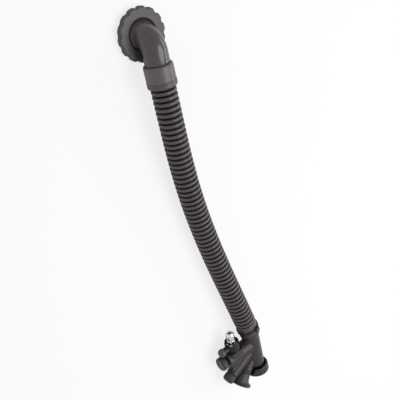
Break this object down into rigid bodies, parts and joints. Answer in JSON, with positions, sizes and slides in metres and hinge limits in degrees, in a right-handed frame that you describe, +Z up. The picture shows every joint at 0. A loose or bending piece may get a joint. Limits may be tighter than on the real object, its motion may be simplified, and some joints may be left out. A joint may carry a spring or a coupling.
{
  "type": "inflator hose",
  "caption": "Corrugated inflator hose of a buoyancy jacket: right-angle elbow with a scalloped retaining nut, and a power inflator with an angled mouthpiece.",
  "frame": {"origin": "centre of the retaining nut's threaded mouth, on the table that the part lies on", "axes": "+Z up, along the nut's axis away from its mouth; +X from the nut along the hose towards the inflator; +Y to the left of the hose seen from above"},
  "size_m": [0.5928, 0.1055, 0.0447],
  "materials": {
    "nylon_black": "moulded, fine matte grain",
    "gloss_pipe": "moulded, glossy",
    "collar_plastic": "moulded, satin",
    "hose_rubber": "moulded rubber, satin",
    "seal_rubber": "smooth rubber",
    "tie_nylon": "nylon, satin",
    "inflator_plastic": "moulded, satin",
    "guard_plastic": "moulded, satin",
    "button_plastic": "moulded, satin, ribbed grip",
    "cap_plastic": "moulded, satin, ribbed grip",
    "mouth_rubber": "soft moulded rubber",
    "chromed_brass": "polished",
    "brass_insert": "machined",
    "sintered_bronze": "sintered, grainy",
    "steel_stem": "ground",
    "spring_steel": "drawn wire"
  },
  "bodies": {
    "hose_and_inflator": {"elbow": "gloss_pipe", "flange_gasket": "seal_rubber", "hose_collar": "collar_plastic", "corrugated_hose": "hose_rubber", "lower_hose_tie": "tie_nylon", "inflator_body": "inflator_plastic", "nipple_guard": "guard_plastic", "clip_stud": "guard_plastic", "qd_nipple": "chromed_brass", "nipple_o_ring": "seal_rubber", "nipple_filter": "sintered_bronze", "valve_bonnet": "inflator_plastic", "bonnet_o_ring": "seal_rubber", "valve_seat": "brass_insert", "inflate_spring": "spring_steel", "oral_end_cap": "inflator_plastic", "oral_o_ring": "seal_rubber", "oral_spring": "spring_steel", "rubber_mouthpiece": "mouth_rubber", "mouthpiece_tie": "tie_nylon"},
    "nut": {"retaining_nut": "nylon_black"},
    "inflate_plunger": {"inflate_button": "button_plastic", "inflate_stem": "steel_stem", "poppet_seal": "seal_rubber"},
    "deflate_plunger": {"deflate_button": "button_plastic", "oral_stem": "steel_stem", "oral_valve_disc": "seal_rubber"},
    "hand_cap_ring": {"outlet_cap_o_ring": "seal_rubber"},
    "hand_cap": {"outlet_cap": "cap_plastic"}
  },
  "joints": [
    {"name": "nut_spin", "type": "hinge", "parent": "hose_and_inflator", "child": "nut", "pos_m": [0, 0, 0.0052], "axis": [0, 0, 1], "continuous": true},
    {"name": "inflate_press", "type": "slide", "parent": "hose_and_inflator", "child": "inflate_plunger", "axis": [0, 1, 0], "range_m": [0, 0.0025], "stiffness_N_per_m": 1200, "springref_m": -0.002, "deforming": ["inflate_spring"]},
    {"name": "deflate_press", "type": "slide", "parent": "hose_and_inflator", "child": "deflate_plunger", "axis": [-1, 0, 0], "range_m": [0, 0.0025], "stiffness_N_per_m": 1000, "springref_m": -0.002, "deforming": ["oral_spring"]},
    {"name": "hand_cap_turn", "type": "hinge", "parent": "hand_cap_ring", "child": "hand_cap", "pos_m": [0.52794, 0.00643, 0.0205], "axis": [0.4226, -0.9063, 0], "range_deg": [0, 1800]},
    {"name": "hand_cap_rise", "type": "slide", "parent": "hose_and_inflator", "child": "hand_cap_ring", "axis": [0.4226, -0.9063, 0], "range_m": [0, 0.005]}
  ],
  "couplings": [
    {"joint": "hand_cap_turn", "follows": "hand_cap_rise", "rad_per_m": 6283.2}
  ]
}
